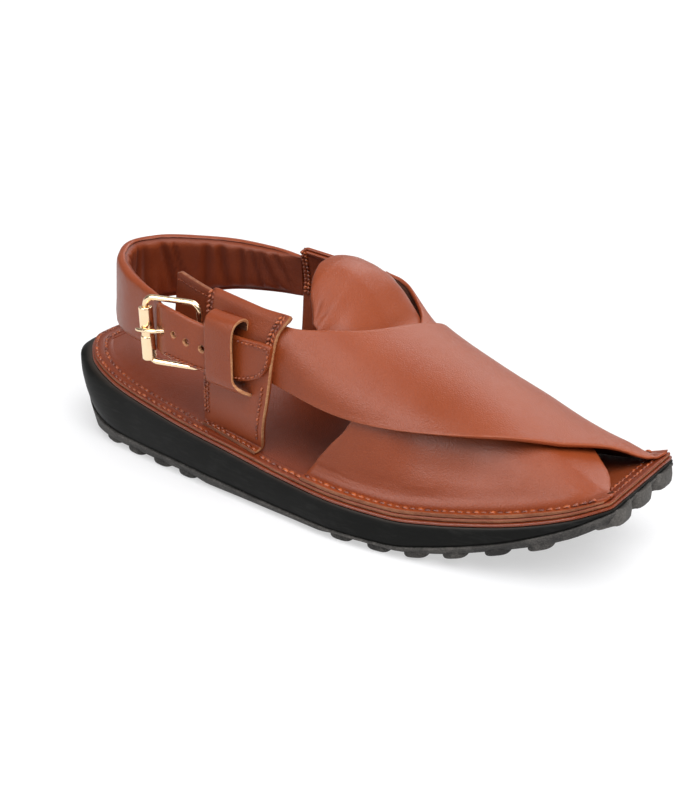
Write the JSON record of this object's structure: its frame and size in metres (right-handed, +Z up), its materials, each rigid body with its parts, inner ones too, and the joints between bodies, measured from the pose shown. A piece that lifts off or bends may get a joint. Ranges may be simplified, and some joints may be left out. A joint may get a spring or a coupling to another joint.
{
  "type": "sandal",
  "caption": "Leather sandal for the right foot with crossed vamp panels, raised padded tongue, padded heel strap with side buckle, and lugged rubber sole.",
  "frame": {"origin": "middle of the object's box, on the floor", "axes": "+X to the toe, +Y to the inner side of the foot, +Z up"},
  "size_m": [0.305, 0.103, 0.109],
  "materials": {
    "tread_rubber": "matt, dusty",
    "black_rubber": "smooth, soft sheen",
    "brown_leather": "smooth, polished",
    "edge_leather": "cut edge, waxed",
    "lining_leather": "soft, matt",
    "gold_metal": "bright"
  },
  "bodies": {
    "root": {"outsole": "tread_rubber", "midsole": "black_rubber", "welt": "edge_leather", "insole": "brown_leather", "upper": "brown_leather", "tongue": "brown_leather", "lateral_quarter": "brown_leather", "medial_quarter": "brown_leather", "guard_tab": "lining_leather", "heel_strap": "brown_leather", "keeper": "brown_leather", "chape": "brown_leather", "buckle_frame": "gold_metal", "buckle_roller": "gold_metal", "buckle_prong": "gold_metal"}
  },
  "joints": []
}
